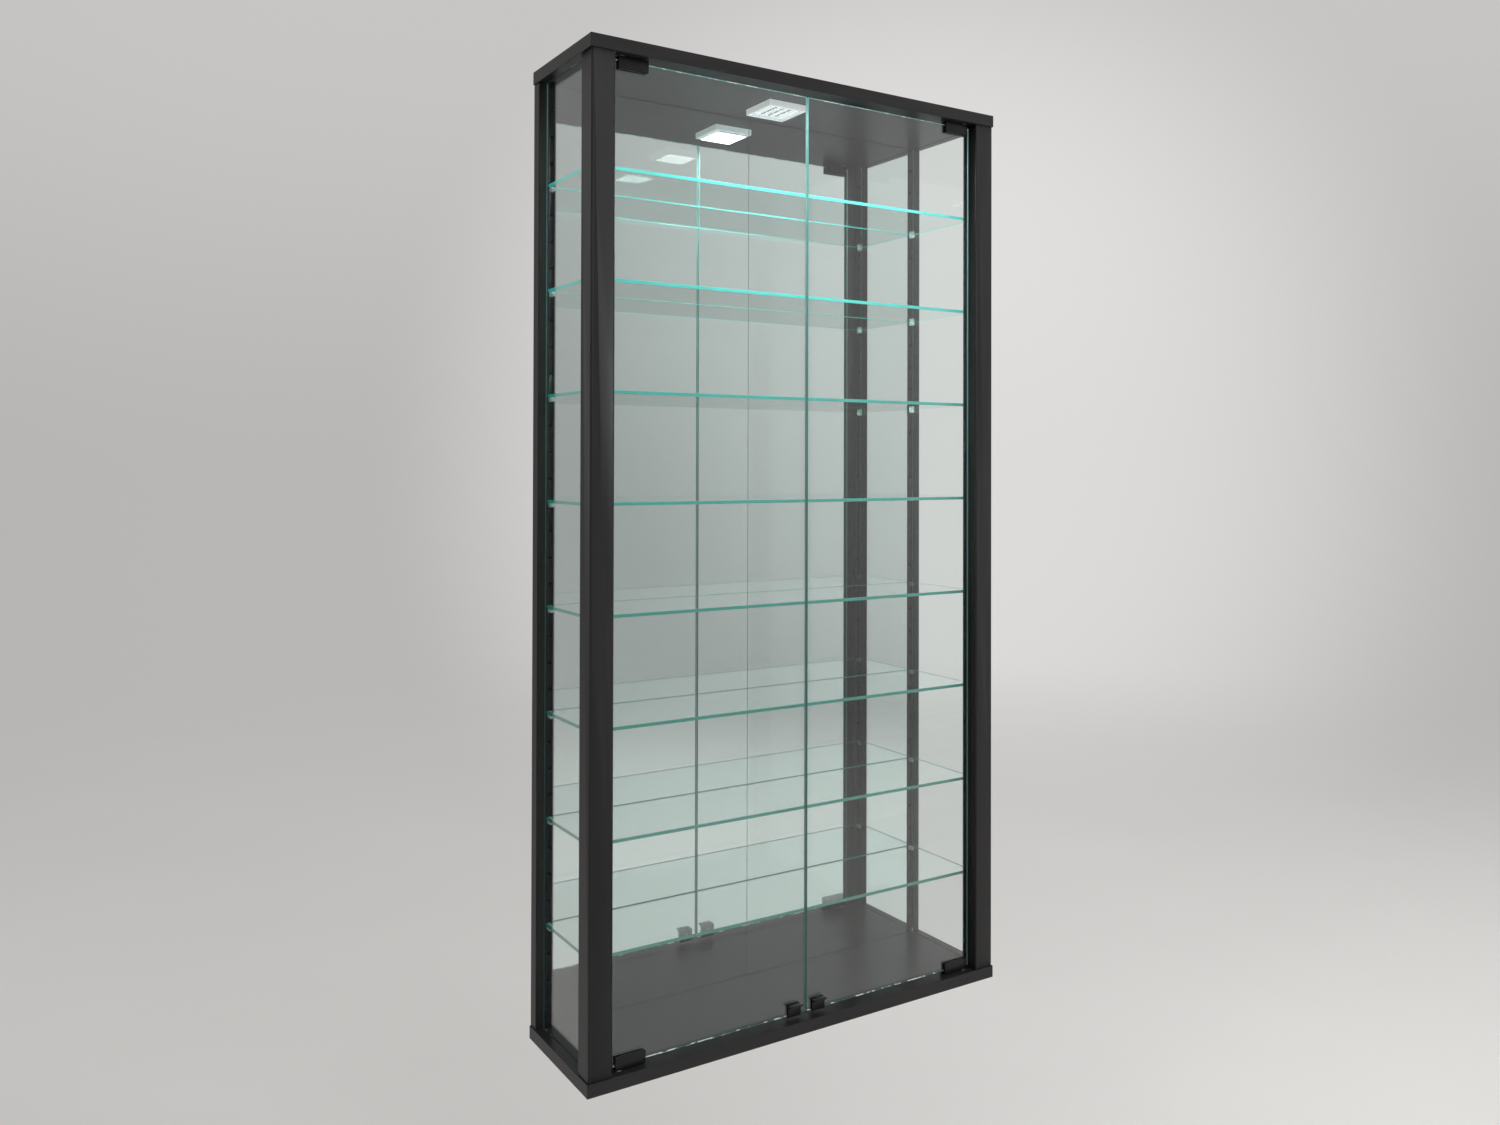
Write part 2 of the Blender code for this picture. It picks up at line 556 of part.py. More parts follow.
def make_hinge(tag, side, end, axis):
    board_face = end * INNER_HALF
    outer_y = DOOR_THICKNESS / 2 + SEAT_GAP + CLAMP_PLATE
    x = span_x(side, PIVOT_X + CLAMP_END - CLAMP_LENGTH, PIVOT_X + CLAMP_END)
    z = ordered(board_face - end * CLAMP_BOARD_GAP, board_face - end * (CLAMP_BOARD_GAP + CLAMP_HEIGHT))

    def is_free_corner(edge):
        return all(vert.co.x * side < 0 and vert.co.z * end < 0 for vert in edge.verts)

    clamp = box(f"hinge_clamp_{tag}", (x[0], DOOR_MIDDLE_Y - outer_y, z[0]),
                (x[1], DOOR_MIDDLE_Y + outer_y, z[1]), BLACK_METAL, parent=axis,
                round_edges=is_free_corner, radius=min(CLAMP_CORNER_RADIUS, CLAMP_HEIGHT / 2), segments=5)
    soften(clamp, CLAMP_EDGE_RADIUS, 2)
    slot_half = DOOR_THICKNESS / 2 + SEAT_GAP
    slot_root = board_face - end * (DOOR_END_GAP - SEAT_GAP)
    slot_z = ordered(slot_root, board_face - end * (CLAMP_BOARD_GAP + CLAMP_HEIGHT + CUT_PAST))
    cut_box(clamp, f"cut_clamp_slot_{tag}", (x[0] - CUT_PAST, DOOR_MIDDLE_Y - slot_half, slot_z[0]),
            (x[1] + CUT_PAST, DOOR_MIDDLE_Y + slot_half, slot_z[1]))

    web_middle = board_face - end * (CLAMP_BOARD_GAP + DOOR_END_GAP) / 2
    cut_round(clamp, f"cut_pin_seat_{tag}", (side * PIVOT_X, DOOR_MIDDLE_Y, web_middle), "Z",
              HINGE_PIN_RADIUS + SEAT_GAP, DOOR_END_GAP)
    make_hinge_pin(tag, side, end, axis)
    make_bush(tag, side, end)

    screw_x = side * (PIVOT_X + CLAMP_END - CLAMP_LENGTH / 2)
    screw_z = board_face - end * (DOOR_END_GAP + (CLAMP_BOARD_GAP + CLAMP_HEIGHT)) / 2
    rear_plate_y = DOOR_MIDDLE_Y + DOOR_THICKNESS / 2 + SEAT_GAP + CLAMP_PLATE / 2
    cut_round(clamp, f"cut_clamp_screw_{tag}", (screw_x, rear_plate_y, screw_z), "Y",
              CLAMP_SCREW_RADIUS + SCREW_HOLE_GAP, CLAMP_PLATE + 2 * CUT_PAST - SEAT_GAP, SMALL_SIDES)
    make_grub_screw(f"clamp_screw_{tag}", (screw_x, rear_plate_y, screw_z), CLAMP_SCREW_RADIUS,
                    CLAMP_PLATE, axis)


def make_hinge_pin(tag, side, end, axis):
    """A steel pin that stands in the clamp's web and turns in the board's bush."""
    board_face = end * INNER_HALF
    tip = board_face + end * HINGE_PIN_DEPTH
    root = board_face - end * (DOOR_END_GAP - 2 * SEAT_GAP)
    pin = cylinder(f"hinge_pin_{tag}", (side * PIVOT_X, DOOR_MIDDLE_Y, (tip + root) / 2), "Z",
                   HINGE_PIN_RADIUS, abs(tip - root), material=BRIGHT_STEEL, parent=axis)
    if end < 0:
        flat_y = DOOR_MIDDLE_Y + HINGE_PIN_RADIUS - PIN_FLAT
        reach = HINGE_PIN_RADIUS + CUT_PAST
        cut_box(pin, f"cut_pin_flat_{tag}",
                (side * PIVOT_X - reach, flat_y, tip - CUT_PAST),
                (side * PIVOT_X + reach, flat_y + CUT_PAST, tip + 2 * DETENT_HEIGHT))
    return pin


def make_bush(tag, side, end):
    """A nylon bush in the board; the lower ones have the nib that snaps on the pin's flat."""
    board_face = end * INNER_HALF
    centre = (side * PIVOT_X, DOOR_MIDDLE_Y, board_face + end * BUSH_LENGTH / 2)
    bore = HINGE_PIN_RADIUS + PIN_RUNNING_GAP
    bush = cylinder(f"hinge_bush_{tag}", centre, "Z", BUSH_OUTER_RADIUS, BUSH_LENGTH, material=NYLON)
    cut_round(bush, f"cut_bush_bore_{tag}", centre, "Z", bore, BUSH_LENGTH + 2 * CUT_PAST)
    if end < 0:
        nib_face = DOOR_MIDDLE_Y + HINGE_PIN_RADIUS + PIN_RUNNING_GAP / 2
        tip = board_face + end * HINGE_PIN_DEPTH
        nib = box(f"join_detent_nib_{tag}",
                  (side * PIVOT_X - HINGE_PIN_RADIUS / 4, nib_face, tip),
                  (side * PIVOT_X + HINGE_PIN_RADIUS / 4, nib_face + BUSH_WALL / 2, tip + DETENT_HEIGHT),
                  collection=CUTTERS)
        boolean(bush, nib, "UNION")
    return bush


def make_grub_screw(name, centre, radius, length, parent):
    """A headless screw along Y with a socket in its rear end."""
    screw = cylinder(name, centre, "Y", radius, length, SMALL_SIDES, BRIGHT_STEEL, parent=parent)
    socket = length / 2
    cut_round(screw, f"cut_socket_{name}",
              (centre[0], centre[1] + length / 2 - socket / 2 + CUT_PAST / 2, centre[2]), "Y",
              min(SCREW_SOCKET_RADIUS, radius / 2), socket + CUT_PAST, 6)
    return screw


def make_pull(side_name, side, axis):
    """A clip over the door's lower edge, with a lip that a finger pulls on."""
    x = span_x(side, DOOR_INNER_X + PULL_FROM_EDGE, DOOR_INNER_X + PULL_FROM_EDGE + PULL_WIDTH)
    glass_half = DOOR_THICKNESS / 2 + SEAT_GAP
    front_y = DOOR_MIDDLE_Y - glass_half - PULL_PLATE
    rear_y = DOOR_MIDDLE_Y + glass_half + PULL_REAR_PLATE
    low_z = -DOOR_HALF - SEAT_GAP - PULL_UNDER
    high_z = -DOOR_HALF + PULL_HEIGHT
    pull = box(f"door_pull_{side_name}", (x[0], front_y - PULL_LIP, low_z), (x[1], rear_y, high_z),
               BLACK_METAL, parent=axis)
    cut_box(pull, f"cut_under_lip_{side_name}",
            (x[0] - CUT_PAST, front_y - PULL_LIP - CUT_PAST, low_z - CUT_PAST),
            (x[1] + CUT_PAST, front_y, high_z - PULL_LIP_THICKNESS))
    soften(pull, PULL_PLATE / 4)
    cut_box(pull, f"cut_pull_slot_{side_name}",
            (x[0] - CUT_PAST, DOOR_MIDDLE_Y - glass_half, low_z + PULL_UNDER),
            (x[1] + CUT_PAST, DOOR_MIDDLE_Y + glass_half, high_z + CUT_PAST))
    centre = ((x[0] + x[1]) / 2, rear_y - PULL_REAR_PLATE / 2, -DOOR_HALF + PULL_HEIGHT / 2)
    cut_round(pull, f"cut_pull_screw_{side_name}", centre, "Y", PULL_SCREW_RADIUS + SCREW_HOLE_GAP,
              PULL_REAR_PLATE + 2 * CUT_PAST - SEAT_GAP, SMALL_SIDES)
    make_grub_screw(f"pull_screw_{side_name}", centre, PULL_SCREW_RADIUS, PULL_REAR_PLATE, axis)
    return pull


# ---- lamp ---------------------------------------------------------------------------------
def make_lamp():
    half = LAMP_SIZE / 2
    roof_z = INNER_HALF - SEAT_GAP
    foot_z = roof_z - LAMP_HEIGHT

    def is_lower_edge(edge):
        return edge.verts[0].co.z < 0 and edge.verts[1].co.z < 0

    housing = box("lamp_housing", (-half, LAMP_Y - half, foot_z), (half, LAMP_Y + half, roof_z), ALUMINIUM,
                  round_edges=is_lower_edge, radius=LAMP_EDGE_RADIUS, segments=2)
    cut_box(housing, "cut_lamp_pocket",
            (-LAMP_POCKET_HALF, LAMP_Y - LAMP_POCKET_HALF, foot_z - CUT_PAST),
            (LAMP_POCKET_HALF, LAMP_Y + LAMP_POCKET_HALF, roof_z - LAMP_ROOF))
    cut_round(housing, "cut_lamp_lead_hole", (0, LAMP_Y, roof_z), "Z", CABLE_RADIUS, 4 * LAMP_ROOF)
    inner = LAMP_POCKET_HALF - SEAT_GAP
    board_top = roof_z - LAMP_ROOF - SEAT_GAP
    box("lamp_board", (-inner, LAMP_Y - inner, board_top - LAMP_BOARD_THICKNESS),
        (inner, LAMP_Y + inner, board_top), LAMP_WHITE)
    cover_foot = foot_z + LAMP_COVER_RECESS
    box("lamp_cover", (-inner, LAMP_Y - inner, cover_foot),
        (inner, LAMP_Y + inner, cover_foot + LAMP_COVER_THICKNESS), LAMP_CLEAR)


def make_grommet():
    """A flanged sleeve in the top board for the lamp's lead."""
    outer = CABLE_RADIUS + GROMMET_WALL
    top_z = HALF_HEIGHT - SEAT_GAP
    length = BOARD_THICKNESS - 2 * SEAT_GAP
    points = [(CABLE_RADIUS, -length), (CABLE_RADIUS, 0.0), (GROMMET_FLANGE_RADIUS, 0.0),
              (GROMMET_FLANGE_RADIUS, -GROMMET_FLANGE + SEAT_GAP),
              (outer, -GROMMET_FLANGE + SEAT_GAP), (outer, -length), (CABLE_RADIUS, -length)]
    return spin_profile("cable_grommet", points, (0, LAMP_Y, top_z), ROUND_SIDES, DARK_RUBBER)


# ---- frame screws -------------------------------------------------------------------------
def make_frame_screws():
    """Countersunk screws through the boards into the posts' ends."""
    cone = FRAME_HEAD_RADIUS - FRAME_SCREW_RADIUS
    points = [(0.0, 0.0), (FRAME_HEAD_RADIUS, 0.0), (FRAME_SCREW_RADIUS, -cone),
              (FRAME_SCREW_RADIUS, -FRAME_SCREW_LENGTH + FRAME_SCREW_RADIUS),
              (0.0, -FRAME_SCREW_LENGTH)]
    for end_name, end in ENDS:
        for side_name, side in SIDES:
            for place, (x, y) in (("front", FRONT_SCREW_XY), ("rear", REAR_SCREW_XY)):
                screw = spin_profile(f"frame_screw_{end_name}_{side_name}_{place}", points,
                                     (side * x, y, end * (HALF_HEIGHT - SCREW_HEAD_DROP)),
                                     SMALL_SIDES, BRIGHT_STEEL)
                screw.rotation_euler = (0.0 if end > 0 else math.pi, 0.0, 0.0)


# ---- the whole cabinet --------------------------------------------------------------------
def build():
    for end_name, end in ENDS:
        board = make_board(end_name, end)
        if end > 0:
            cut_cable_hole(board)
    for side_name, side in SIDES:
        make_front_post(side_name, side)
        make_rear_post(side_name, side)
        make_hanger(side_name, side)
        make_side_glass(side_name, side)
        make_door(side_name, side)
    make_back()
    for index, shelf_z in enumerate(shelf_centres(), start=1):
        make_shelf(index, shelf_z)
    make_lamp()
    make_grommet()
    make_frame_screws()


build()
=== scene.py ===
"""Finishes, glass, fittings, light and camera for the wall mounted showcase."""
import math

import bmesh
import bpy
from mathutils import Euler, Matrix, Vector


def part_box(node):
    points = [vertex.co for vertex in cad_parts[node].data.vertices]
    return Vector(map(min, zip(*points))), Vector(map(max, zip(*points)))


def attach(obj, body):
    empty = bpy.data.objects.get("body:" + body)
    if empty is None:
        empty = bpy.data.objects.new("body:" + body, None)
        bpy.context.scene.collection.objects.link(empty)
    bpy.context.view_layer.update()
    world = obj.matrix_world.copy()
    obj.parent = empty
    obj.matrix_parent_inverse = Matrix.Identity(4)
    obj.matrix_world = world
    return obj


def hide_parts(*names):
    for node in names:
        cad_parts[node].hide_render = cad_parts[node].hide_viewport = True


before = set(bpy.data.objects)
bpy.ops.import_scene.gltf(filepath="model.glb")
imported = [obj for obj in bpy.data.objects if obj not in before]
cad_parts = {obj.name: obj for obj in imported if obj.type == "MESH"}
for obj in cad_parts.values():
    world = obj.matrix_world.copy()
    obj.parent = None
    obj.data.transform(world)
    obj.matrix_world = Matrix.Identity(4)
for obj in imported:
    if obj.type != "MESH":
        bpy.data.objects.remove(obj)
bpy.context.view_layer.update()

SIDES = (("left", -1), ("right", 1))
ENDS = (("top", 1), ("bottom", -1))


# ---- node trees ---------------------------------------------------------------------------
class Wire:
    """A node's output that adds Math nodes when it is used in an expression."""

    def __init__(self, nodes, socket):
        self.nodes = nodes
        self.socket = socket

    def maths(self, operation, *values):
        made = self.nodes.add("ShaderNodeMath", dict(enumerate(values)), operation=operation)
        return made["Value"]

    def __add__(self, other):
        return self.maths("ADD", self, other)

    def __sub__(self, other):
        return self.maths("SUBTRACT", self, other)

    def __rsub__(self, other):
        return self.maths("SUBTRACT", other, self)

    def __mul__(self, other):
        return self.maths("MULTIPLY", self, other)

    def __truediv__(self, other):
        return self.maths("DIVIDE", self, other)

    def __pow__(self, other):
        return self.maths("POWER", self, other)

    def __abs__(self):
        return self.maths("ABSOLUTE", self)

    __radd__ = __add__
    __rmul__ = __mul__

    def ramp(self, low, high, to_low=0.0, to_high=1.0):
        """Follow this value from to_low at low to to_high at high, and hold it outside them."""
        values = {"Value": self, "From Min": low, "From Max": high, "To Min": to_low, "To Max": to_high}
        return self.nodes.add("ShaderNodeMapRange", values, interpolation_type="SMOOTHSTEP")["Result"]

    def colours(self, *stops):
        return self.nodes.add("ShaderNodeValToRGB", {"Fac": self}, stops=stops)["Color"]


class Made:
    """A node whose outputs are read by name."""

    def __init__(self, nodes, node):
        self.nodes = nodes
        self.node = node

    def __getitem__(self, output):
        return Wire(self.nodes, self.node.outputs[output])


class Nodes:
    """Fills one node tree."""

    def __init__(self, tree):
        self.tree = tree
        tree.nodes.clear()

    def add(self, kind, values=None, **settings):
        """Make a node, apply its settings, then give its inputs their values or links."""
        node = self.tree.nodes.new(kind)
        stops = settings.pop("stops", None)
        for name, setting in settings.items():
            setattr(node, name, setting)
        if stops:
            self.set_stops(node.color_ramp, stops)
        for name, value in (values or {}).items():
            if isinstance(value, Wire):
                self.tree.links.new(value.socket, node.inputs[name])
            else:
                node.inputs[name].default_value = value
        return Made(self, node)

    @staticmethod
    def set_stops(ramp, stops):
        while len(ramp.elements) < len(stops):
            ramp.elements.new(1.0)
        for element, (position, colour) in zip(ramp.elements, stops):
            element.position = position
            element.color = (*colour, 1.0)

    def noise(self, place, scale, detail=2.0, roughness=0.5):
        values = {"Vector": place, "Scale": scale, "Detail": detail, "Roughness": roughness}
        return self.add("ShaderNodeTexNoise", values)["Fac"]

    def stretched(self, place, scale):
        return self.add("ShaderNodeMapping", {"Vector": place, "Scale": scale})["Vector"]

    def mixed(self, share, first, second):
        """Blend two colours; share is how much of the second there is."""
        values = {0: share, 6: first, 7: second}
        return self.add("ShaderNodeMix", values, data_type="RGBA")[2]

    def bump(self, height, strength, distance):
        values = {"Height": height, "Strength": strength, "Distance": distance}
        return self.add("ShaderNodeBump", values)["Normal"]


class Finish(Nodes):
    """A material under construction, with the place on the piece ready to use."""

    def __init__(self, name):
        self.material = bpy.data.materials.new(name)
        self.material.use_nodes = True
        super().__init__(self.material.node_tree)
        self.place = self.add("ShaderNodeTexCoord")["Object"]

    def axes(self):
        split = self.add("ShaderNodeSeparateXYZ", {"Vector": self.place})
        return split["X"], split["Y"], split["Z"]

    def principled(self, **values):
        values = {name.replace("_", " "): value for name, value in values.items()}
        return self.add("ShaderNodeBsdfPrincipled", values)["BSDF"]

    def done(self, shader):
        self.add("ShaderNodeOutputMaterial", {"Surface": shader})
        return self.material


# ---- finishes -----------------------------------------------------------------------------
LAMP_CENTRE = (Vector(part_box("lamp_cover")[0]) + Vector(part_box("lamp_cover")[1])) / 2


def foil(name, stretch):
    """Anthracite foil: a faint pressed grain along the board, and a fine pearl."""
    made = Finish(name)
    grain = made.noise(made.stretched(made.place, stretch), 1.0, 6.0, 0.62)
    cloud = made.noise(made.place, 5.0, 3.0)
    pearl = made.noise(made.place, 3200.0, 2.0)
    tone = (grain * 0.55 + cloud * 0.45).colours(
        (0.30, (0.0150, 0.0142, 0.0149)), (0.52, (0.0195, 0.0184, 0.0191)), (0.75, (0.0260, 0.0244, 0.0252)))
    height = grain * 0.7 + pearl * 0.3
    return made.done(made.principled(
        Base_Color=tone, Roughness=grain * 0.08 + cloud * 0.05 + 0.26, Specular_IOR_Level=0.20,
        Normal=made.bump(height, 0.16, 0.00025)))


def see_through(made, glass, let_through):
    """Let lamps shine through, so that they light what is behind the glass."""
    clear = made.add("ShaderNodeBsdfTransparent", {"Color": (*let_through, 1.0)})["BSDF"]
    lamps = made.add("ShaderNodeLightPath")["Is Shadow Ray"]
    return made.done(made.add("ShaderNodeMixShader", {0: lamps, 1: glass, 2: clear})["Shader"])


def pane_glass(name, tint, deep):
    """Float glass with a breath of smear on it."""
    made = Finish(name)
    smear = made.noise(made.place, 9.0, 4.0)
    colour = smear.colours((0.35, tint), (0.70, deep))
    glass = made.principled(Base_Color=colour, Roughness=smear.ramp(0.45, 0.75, 0.0, 0.012), IOR=1.52,
                            Transmission_Weight=1.0)
    return see_through(made, glass, tint)


def pane_edge(name, painted_glow, painted_glint_from, *painted_lamp_light_tones):
    """The ground edge of a pane: its teal shows the glass's depth, and painted lamp light makes it brighter
    near the lamp.

    painted_lamp_light_tones go from the lamp outwards, in metres: painted lamp light. painted_glint_from is
    the height above and below the middle past which painted glints dash along the edge.
    """
    made = Finish(name)
    across, deep, along = made.axes()
    away = (across * across * 0.45 + (along - LAMP_CENTRE.z) * (along - LAMP_CENTRE.z)) ** 0.5
    ripple = made.noise(made.stretched(made.place, (30.0, 30.0, 9.0)), 1.0, 3.0)
    scratch = made.noise(made.place, 1500.0, 2.0)
    # Brighter towards the lamp: painted lamp light over the glass's own teal; the ripple is tone that varies
    # at random.
    colour = (away + ripple * 0.10 - 0.05).colours(*painted_lamp_light_tones)
    # chips is only the dash pattern of the painted glint: white flecks near the top and bottom edges that
    # paint the lamp caught on the ground edge.
    chips = made.noise(made.stretched(made.place, (95.0, 95.0, 45.0)), 1.0, 2.0)
    painted_glint = chips.ramp(0.50, 0.60) * abs(along).ramp(painted_glint_from, painted_glint_from + 0.002)
    shine = made.mixed(painted_glint, colour, (1.0, 1.0, 1.0, 1.0))
    # Emission at painted_glow paints the edge as lit, the painted glints included.
    return made.done(made.principled(
        Base_Color=shine, Roughness=scratch * 0.15 + 0.12, IOR=1.52, Coat_Weight=0.6,
        Emission_Color=shine, Emission_Strength=painted_glow, Normal=made.bump(scratch, 0.10, 0.0001)))


def mirror_silver():
    made = Finish("mirror_silver_sheet")
    haze = made.noise(made.place, 3.0, 4.0)
    colour = haze.colours((0.30, (0.68, 0.735, 0.725)), (0.70, (0.71, 0.765, 0.755)))
    return made.done(made.principled(Base_Color=colour, Metallic=1.0,
                                     Roughness=haze.ramp(0.45, 0.75, 0.004, 0.016)))


def coated_metal(name, dark, light, rough):
    """Die cast metal with a fine orange peel under its black coat."""
    made = Finish(name)
    peel = made.noise(made.place, 900.0, 3.0)
    patch = made.noise(made.place, 45.0, 3.0)
    return made.done(made.principled(
        Base_Color=patch.colours((0.35, dark), (0.7, light)), Roughness=peel * 0.12 + rough,
        Specular_IOR_Level=0.24, Coat_Weight=0.05, Coat_Roughness=0.25,
        Normal=made.bump(peel, 0.14, 0.00015)))


def brushed(name, dark, light, stretch, rough, metallic=1.0, painted_glow=0.0):
    """Metal with the fine lines that brushing or drawing leaves."""
    made = Finish(name)
    lines = made.noise(made.stretched(made.place, stretch), 1.0, 5.0, 0.7)
    patch = made.noise(made.place, 30.0, 3.0)
    colour = (lines * 0.5 + patch * 0.5).colours((0.3, dark), (0.7, light))
    # Emission at painted_glow paints the metal as lit; it is none unless a glow is given.
    return made.done(made.principled(Base_Color=colour, Metallic=metallic, Roughness=lines * 0.18 + rough,
                                     Emission_Color=colour, Emission_Strength=painted_glow,
                                     Normal=made.bump(lines, 0.12, 0.0001)))


def moulded(name, dark, light, rough, see=0.0, painted_glow=0.0):
    """Moulded plastic or rubber with a fine even texture."""
    made = Finish(name)
    fine = made.noise(made.place, 1400.0, 2.0)
    flow = made.noise(made.place, 60.0, 3.0)
    colour = flow.colours((0.3, dark), (0.7, light))
    # Emission at painted_glow paints the plastic as lit; it is none unless a glow is given.
    shader = made.principled(Base_Color=colour, Roughness=fine * 0.12 + rough, IOR=1.49,
                             Transmission_Weight=see, Emission_Color=colour, Emission_Strength=painted_glow,
                             Normal=made.bump(fine, 0.10, 0.0001))
    if see > 0.0:
        return see_through(made, shader, light)
    return made.done(shader)


def fibre_board():
    """Bare fibre board: short pressed fibres and darker flecks."""
    made = Finish("fibre_board")
    fibre = made.noise(made.stretched(made.place, (260.0, 260.0, 700.0)), 1.0, 5.0, 0.7)
    fleck = made.add("ShaderNodeTexVoronoi", {"Vector": made.place, "Scale": 420.0})["Distance"]
    cloud = made.noise(made.place, 6.0, 4.0)
    tone = (fibre * 0.5 + cloud * 0.3 + fleck.ramp(0.05, 0.5) * 0.2).colours(
        (0.30, (0.100, 0.084, 0.068)), (0.55, (0.165, 0.142, 0.118)), (0.80, (0.230, 0.205, 0.175)))
    return made.done(made.principled(Base_Color=tone, Roughness=fibre * 0.2 + 0.62,
                                     Normal=made.bump(fibre, 0.3, 0.0003)))


def light_chips():
    """The cool white faces of the light emitting chips."""
    made = Finish("lamp_chip_face")
    warmth = made.noise(made.place, 180.0, 2.0)
    colour = warmth.colours((0.3, (0.93, 0.97, 1.0)), (0.7, (1.0, 0.99, 0.96)))
    return made.done(made.principled(Base_Color=colour, Roughness=0.4, Emission_Color=colour,
                                     Emission_Strength=0.9))


FOIL_LENGTHWAYS = foil("anthracite_foil_lengthways", (9.0, 160.0, 160.0))
FOIL_UPRIGHT = foil("anthracite_foil_upright", (160.0, 160.0, 9.0))
PANE = pane_glass("clear_pane", (0.955, 0.985, 0.978), (0.945, 0.980, 0.972))
SHELF_PANE = pane_glass("shelf_pane", (0.900, 0.975, 0.955), (0.885, 0.970, 0.945))
# Edge tones run from bright near the lamp to dark away from it: painted lamp light over the glass's own teal.
# The first number is a painted glow; past the second, white flecks are painted glints.
PANE_EDGE = pane_edge("clear_pane_edge", 0.35, 0.5665, (0.0, (0.230, 0.480, 0.450)),
                      (0.30, (0.110, 0.260, 0.240)), (0.65, (0.060, 0.155, 0.140)),
                      (1.0, (0.040, 0.105, 0.095)))
SHELF_EDGE = pane_edge("shelf_pane_edge", 0.50, 0.7, (0.12, (0.120, 0.820, 0.770)),
                       (0.24, (0.050, 0.560, 0.510)), (0.38, (0.022, 0.300, 0.255)),
                       (0.60, (0.014, 0.190, 0.150)), (1.0, (0.010, 0.120, 0.090)))
MIRROR = mirror_silver()
BLACK_COAT = coated_metal("black_satin_coat", (0.0045, 0.0045, 0.0048), (0.0080, 0.0078, 0.0080), 0.30)
PULL_COAT = coated_metal("black_pull_coat", (0.0050, 0.0050, 0.0053), (0.0095, 0.0092, 0.0095), 0.26)
ZINC = brushed("zinc_plated_steel", (0.42, 0.43, 0.44), (0.62, 0.62, 0.60), (900.0, 900.0, 60.0), 0.22)
# The rim's glow is painted light: emission that stands in for the lamp's spill on it.
LAMP_RIM = brushed("lamp_rim_aluminium", (0.70, 0.72, 0.72), (0.84, 0.86, 0.86), (40.0, 900.0, 900.0), 0.28,
                   metallic=0.35, painted_glow=0.42)
NYLON = moulded("bush_nylon", (0.70, 0.68, 0.62), (0.80, 0.79, 0.74), 0.42)
PIN_CLEAR = moulded("clear_pin_plastic", (0.88, 0.92, 0.91), (0.97, 0.98, 0.98), 0.06, see=0.50)
RUBBER = moulded("grommet_rubber", (0.012, 0.012, 0.012), (0.022, 0.022, 0.021), 0.62)
# The board mask's glow is painted light: emission that stands in for its chips lighting it; the chips are the
# lamp.
LAMP_WHITE = moulded("lamp_board_mask", (0.80, 0.82, 0.83), (0.90, 0.92, 0.93), 0.45, painted_glow=0.62)
LAMP_MARK = moulded("lamp_row_mark", (0.045, 0.050, 0.055), (0.075, 0.080, 0.085), 0.6)
LAMP_COVER = moulded("lamp_cover_plastic", (0.96, 0.98, 0.98), (0.98, 0.99, 0.99), 0.05, see=1.0)
CHIP = light_chips()
FIBRE = fibre_board()


# ---- making pieces ------------------------------------------------------------------------
def new_object(name, mesh):
    item = bpy.data.objects.new(name, mesh)
    bpy.context.scene.collection.objects.link(item)
    return item


def plain(item):
    """Turn an object with modifiers into a plain mesh of the same name, at the origin."""
    depsgraph = bpy.context.evaluated_depsgraph_get()
    mesh = bpy.data.meshes.new_from_object(item.evaluated_get(depsgraph), depsgraph=depsgraph)
    mesh.transform(item.matrix_world)
    name = item.name
    bpy.data.objects.remove(item)
    made = new_object(name, mesh)
    mesh.name = name
    return made


def dress(item, body, slot, *nodes, finish=None):
    """Give a piece its body, its finish, and the CAD nodes it stands for; the slot argument is not used."""
    if finish is not None:
        item.data.materials.clear()
        item.data.materials.append(finish)
    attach(item, body)
    if nodes:
        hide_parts(*nodes)
    return item


def smooth(item, degrees=35):
    item.data.shade_smooth()
    item.data.set_sharp_from_angle(angle=math.radians(degrees))
    return item


def soften(item, width, segments=2):
    edge = item.modifiers.new("edges", "BEVEL")
    edge.width = width
    edge.segments = segments
    edge.limit_method = "ANGLE"
    edge.angle_limit = math.radians(40)
    edge.harden_normals = False
    return item


def cut_away(item, other):
    cut = item.modifiers.new("cut", "BOOLEAN")
    cut.object = other
    cut.operation = "DIFFERENCE"
    cut.solver = "EXACT"
    return item


def block(name, low, high):
    low, high = Vector(low), Vector(high)
    shape = bmesh.new()
    matrix = Matrix.Translation((low + high) / 2) @ Matrix.Diagonal((*(high - low), 1.0))
    bmesh.ops.create_cube(shape, size=1.0, matrix=matrix)
    mesh = bpy.data.meshes.new(name)
    shape.to_mesh(mesh)
    shape.free()
    return new_object(name, mesh)


def box_of(node):
    low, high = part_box(node)
    return Vector(low), Vector(high)


def rounded(corners, steps=5):
    """Round the corners of a flat outline; each corner is (u, v, radius)."""
    points = []
    count = len(corners)
    for index, (u, v, radius) in enumerate(corners):
        here = Vector((u, v))
        back = Vector(corners[index - 1][:2]) - here
        ahead = Vector(corners[(index + 1) % count][:2]) - here
        if radius <= 0.0:
            points.append(here)
            continue
        half = back.angle(ahead) / 2
        reach = radius / math.tan(half)
        start, finish = here + back.normalized() * reach, here + ahead.normalized() * reach
        middle = here + (back.normalized() + ahead.normalized()).normalized() * (radius / math.sin(half))
        first, last = start - middle, finish - middle
        turn = first.angle_signed(last)
        for step in range(steps + 1):
            angle = -turn * step / steps
            points.append(middle + Matrix.Rotation(angle, 2) @ first)
    return points


